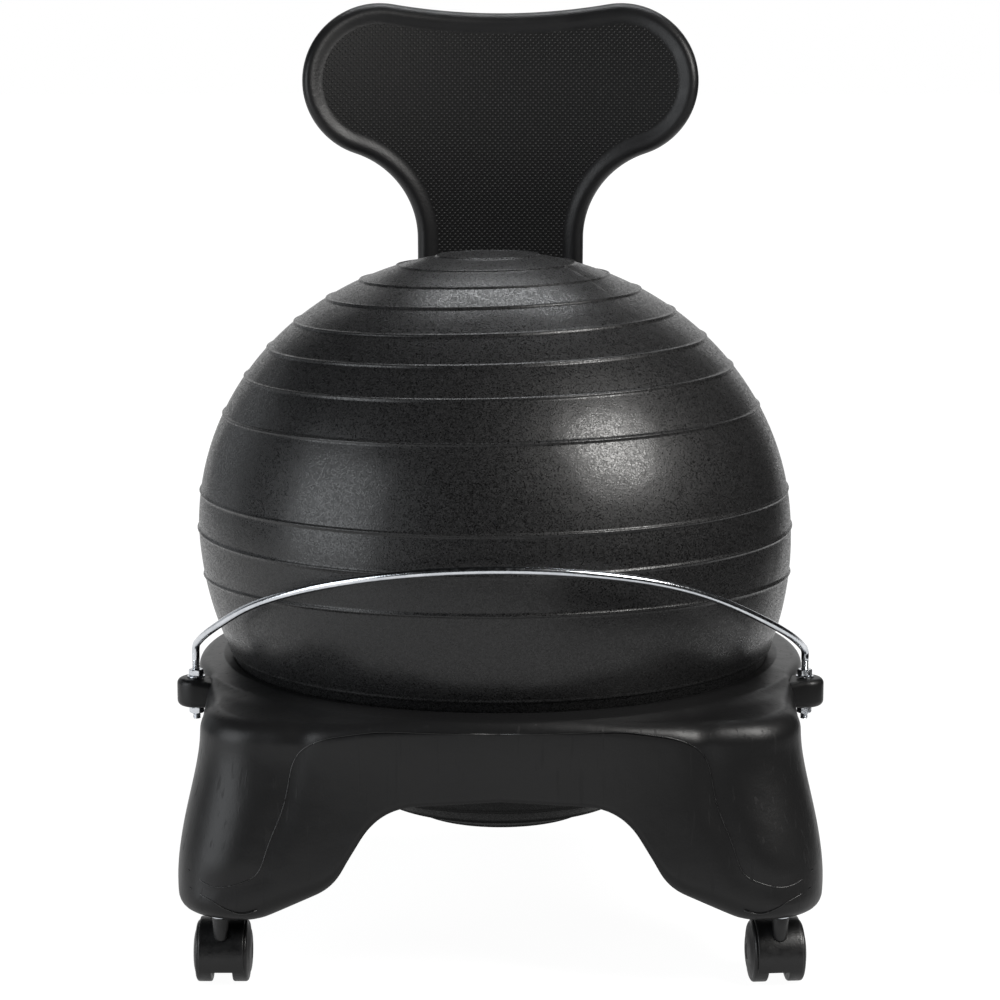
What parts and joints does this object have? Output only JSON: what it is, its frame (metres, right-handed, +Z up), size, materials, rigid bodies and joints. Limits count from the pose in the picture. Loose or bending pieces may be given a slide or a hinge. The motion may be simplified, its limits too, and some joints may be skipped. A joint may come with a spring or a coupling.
{
  "type": "balance ball chair",
  "caption": "Exercise ball seat on a moulded base with legs on twin-wheel casters, a bolted backrest and a bent steel retaining rod.",
  "frame": {"origin": "on the floor below the ball's axis", "axes": "+Z up, -Y towards the front of the chair, +X to the right seen from the front"},
  "size_m": [0.544, 0.5781, 0.79],
  "materials": {
    "moulded_base": "fine blow-moulded grain, satin black",
    "moulded_back": "satin black rim, fine dotted recess",
    "ball_skin": "charcoal matte vinyl with fine speckle",
    "valve_plug": "smooth",
    "plated_steel": "zinc plated",
    "brass_insert": "machined",
    "caster_hood": "moulded nylon, satin black",
    "caster_wheel": "moulded nylon, satin black",
    "brake_lever": "moulded nylon, satin black"
  },
  "bodies": {
    "root": {"base_frame": "moulded_base", "backrest_panel": "moulded_back", "backrest_inserts": "brass_insert", "backrest_washers": "plated_steel", "backrest_bolts": "plated_steel", "retaining_rod": "plated_steel", "rod_upper_nuts": "plated_steel", "rod_upper_washers": "plated_steel", "rod_lower_nuts": "plated_steel", "rod_lower_washers": "plated_steel", "caster_socket_front_left": "plated_steel", "caster_socket_front_right": "plated_steel", "caster_socket_rear_left": "plated_steel", "caster_socket_rear_right": "plated_steel"},
    "ball": {"exercise_ball": "ball_skin", "ball_valve_plug": "valve_plug"},
    "caster_front_left": {"caster_hood_front_left": "caster_hood", "caster_stem_front_left": "plated_steel", "grip_ring_front_left": "plated_steel", "wheel_axle_front_left": "plated_steel"},
    "wheel_left_front_left": {"wheel_left_front_left": "caster_wheel"},
    "wheel_right_front_left": {"wheel_right_front_left": "caster_wheel"},
    "caster_front_right": {"caster_hood_front_right": "caster_hood", "caster_stem_front_right": "plated_steel", "grip_ring_front_right": "plated_steel", "wheel_axle_front_right": "plated_steel"},
    "wheel_left_front_right": {"wheel_left_front_right": "caster_wheel"},
    "wheel_right_front_right": {"wheel_right_front_right": "caster_wheel"},
    "caster_rear_left": {"caster_hood_rear_left": "caster_hood", "caster_stem_rear_left": "plated_steel", "grip_ring_rear_left": "plated_steel", "wheel_axle_rear_left": "plated_steel", "brake_pin_rear_left": "plated_steel"},
    "wheel_left_rear_left": {"wheel_left_rear_left": "caster_wheel"},
    "wheel_right_rear_left": {"wheel_right_rear_left": "caster_wheel"},
    "brake_lever_rear_left": {"brake_lever_rear_left": "brake_lever"},
    "caster_rear_right": {"caster_hood_rear_right": "caster_hood", "caster_stem_rear_right": "plated_steel", "grip_ring_rear_right": "plated_steel", "wheel_axle_rear_right": "plated_steel", "brake_pin_rear_right": "plated_steel"},
    "wheel_left_rear_right": {"wheel_left_rear_right": "caster_wheel"},
    "wheel_right_rear_right": {"wheel_right_rear_right": "caster_wheel"},
    "brake_lever_rear_right": {"brake_lever_rear_right": "brake_lever"}
  },
  "joints": [
    {"name": "ball_lift", "type": "slide", "parent": "root", "child": "ball", "axis": [0, 0, 1], "range_m": [0, 0.06]},
    {"name": "swivel_front_left", "type": "hinge", "parent": "root", "child": "caster_front_left", "pos_m": [-0.226, -0.226, 0.06], "axis": [0, 0, 1], "continuous": true},
    {"name": "roll_left_front_left", "type": "hinge", "parent": "caster_front_left", "child": "wheel_left_front_left", "pos_m": [-0.226, -0.206, 0.025], "axis": [1, 0, 0], "continuous": true},
    {"name": "roll_right_front_left", "type": "hinge", "parent": "caster_front_left", "child": "wheel_right_front_left", "pos_m": [-0.226, -0.206, 0.025], "axis": [1, 0, 0], "continuous": true},
    {"name": "swivel_front_right", "type": "hinge", "parent": "root", "child": "caster_front_right", "pos_m": [0.226, -0.226, 0.06], "axis": [0, 0, 1], "continuous": true},
    {"name": "roll_left_front_right", "type": "hinge", "parent": "caster_front_right", "child": "wheel_left_front_right", "pos_m": [0.22426, -0.20608, 0.025], "axis": [0.9962, 0.0872, 0], "continuous": true},
    {"name": "roll_right_front_right", "type": "hinge", "parent": "caster_front_right", "child": "wheel_right_front_right", "pos_m": [0.22426, -0.20608, 0.025], "axis": [0.9962, 0.0872, 0], "continuous": true},
    {"name": "swivel_rear_left", "type": "hinge", "parent": "root", "child": "caster_rear_left", "pos_m": [-0.226, 0.226, 0.06], "axis": [0, 0, 1], "continuous": true},
    {"name": "roll_left_rear_left", "type": "hinge", "parent": "caster_rear_left", "child": "wheel_left_rear_left", "pos_m": [-0.226, 0.246, 0.025], "axis": [1, 0, 0], "continuous": true},
    {"name": "roll_right_rear_left", "type": "hinge", "parent": "caster_rear_left", "child": "wheel_right_rear_left", "pos_m": [-0.226, 0.246, 0.025], "axis": [1, 0, 0], "continuous": true},
    {"name": "brake_rear_left", "type": "hinge", "parent": "caster_rear_left", "child": "brake_lever_rear_left", "pos_m": [-0.226, 0.26279, 0.03676], "axis": [-1, 0, 0], "range_deg": [0, 12]},
    {"name": "swivel_rear_right", "type": "hinge", "parent": "root", "child": "caster_rear_right", "pos_m": [0.226, 0.226, 0.06], "axis": [0, 0, 1], "continuous": true},
    {"name": "roll_left_rear_right", "type": "hinge", "parent": "caster_rear_right", "child": "wheel_left_rear_right", "pos_m": [0.226, 0.246, 0.025], "axis": [1, 0, 0], "continuous": true},
    {"name": "roll_right_rear_right", "type": "hinge", "parent": "caster_rear_right", "child": "wheel_right_rear_right", "pos_m": [0.226, 0.246, 0.025], "axis": [1, 0, 0], "continuous": true},
    {"name": "brake_rear_right", "type": "hinge", "parent": "caster_rear_right", "child": "brake_lever_rear_right", "pos_m": [0.226, 0.26279, 0.03676], "axis": [-1, 0, 0], "range_deg": [0, 12]}
  ]
}
